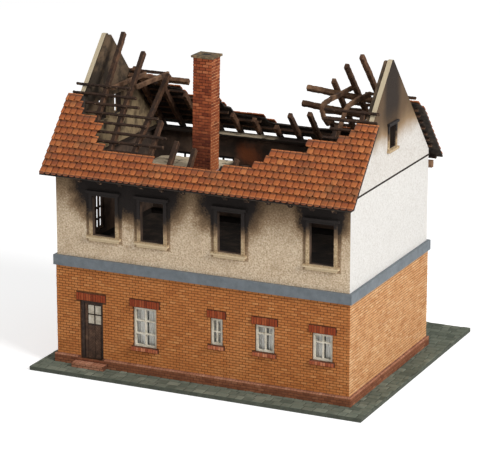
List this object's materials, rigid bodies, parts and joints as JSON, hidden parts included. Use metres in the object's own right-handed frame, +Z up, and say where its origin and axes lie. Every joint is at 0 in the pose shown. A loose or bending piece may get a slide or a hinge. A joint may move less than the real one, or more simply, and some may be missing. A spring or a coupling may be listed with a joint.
{
  "type": "miniature terrain ruin",
  "caption": "Burnt-out two-storey brick and plaster house on a paved base, with an open charred roof, chimney and lift-off roof unit, for tabletop landscapes.",
  "frame": {"origin": "centre of the base plate's underside", "axes": "+Z up, +X to the right along the house's long front, -Y out of the front with the door"},
  "size_m": [0.147, 0.124, 0.1333],
  "materials": {
    "paving": "matt grey-green stone paving",
    "plinth_brick": "matt red-brown",
    "brick": "matt orange-tan brick relief",
    "dark_brick": "matt dark red brick relief",
    "slate_band": "matt slate grey",
    "plaster": "coarse matt render with soot",
    "moulded_trim": "matt cream with soot",
    "window_white": "satin off-white",
    "door_brown": "matt dark brown",
    "glazing": "clear sheet",
    "curtain_paper": "printed white curtains",
    "floor_boards": "matt beige, blackened edges",
    "roof_tile": "matt orange-red tile relief",
    "charred_timber": "matt burnt brown",
    "chimney_brick": "matt red brick relief",
    "cap_stone": "matt grey-brown"
  },
  "bodies": {
    "house": {"base_plate": "paving", "plinth": "plinth_brick", "door_step": "plinth_brick", "brick_wall_front": "brick", "brick_wall_back": "brick", "brick_wall_left": "brick", "brick_wall_right": "brick", "plaster_wall_front": "plaster", "plaster_wall_back": "plaster", "plaster_wall_left": "plaster", "plaster_wall_right": "plaster", "door_frame": "door_brown", "door_leaf": "door_brown", "door_lintel": "dark_brick", "window_frame_1": "window_white", "window_frame_2": "window_white", "window_frame_3": "window_white", "window_frame_4": "window_white", "window_lintel_1": "dark_brick", "window_lintel_2": "dark_brick", "window_lintel_3": "dark_brick", "window_lintel_4": "dark_brick", "window_sill_1": "dark_brick", "window_sill_2": "dark_brick", "window_sill_3": "dark_brick", "window_sill_4": "dark_brick", "back_window_frame": "window_white", "window_glazing": "glazing", "curtain_strip": "curtain_paper", "string_course": "slate_band", "first_floor": "floor_boards", "upper_surround_1": "moulded_trim", "upper_surround_2": "moulded_trim", "upper_surround_3": "moulded_trim", "upper_surround_4": "moulded_trim", "side_casement": "charred_timber", "eaves_beam_back": "charred_timber"},
    "roof_unit": {"attic_floor": "floor_boards", "gable_right": "plaster", "gable_left": "plaster", "gable_lining_right": "charred_timber", "gable_lining_left": "charred_timber", "gable_surround_right": "moulded_trim", "gable_surround_left_front": "moulded_trim", "gable_surround_left_back": "moulded_trim", "tiles_front": "roof_tile", "tiles_back": "roof_tile", "roof_frame_front_left": "charred_timber", "roof_frame_front_right": "charred_timber", "roof_frame_back_left": "charred_timber", "roof_frame_back_right": "charred_timber", "purlin_left": "charred_timber", "purlin_right_upper": "charred_timber", "purlin_right_lower": "charred_timber", "collar_left_outer": "charred_timber", "collar_left_inner": "charred_timber", "bent_collar_inner": "charred_timber", "bent_collar_outer": "charred_timber", "chimney_stack": "chimney_brick", "chimney_cap": "cap_stone"}
  },
  "joints": [
    {"name": "roof_lift", "type": "slide", "parent": "house", "child": "roof_unit", "axis": [0, 0, 1], "range_m": [0, 0.06]}
  ]
}
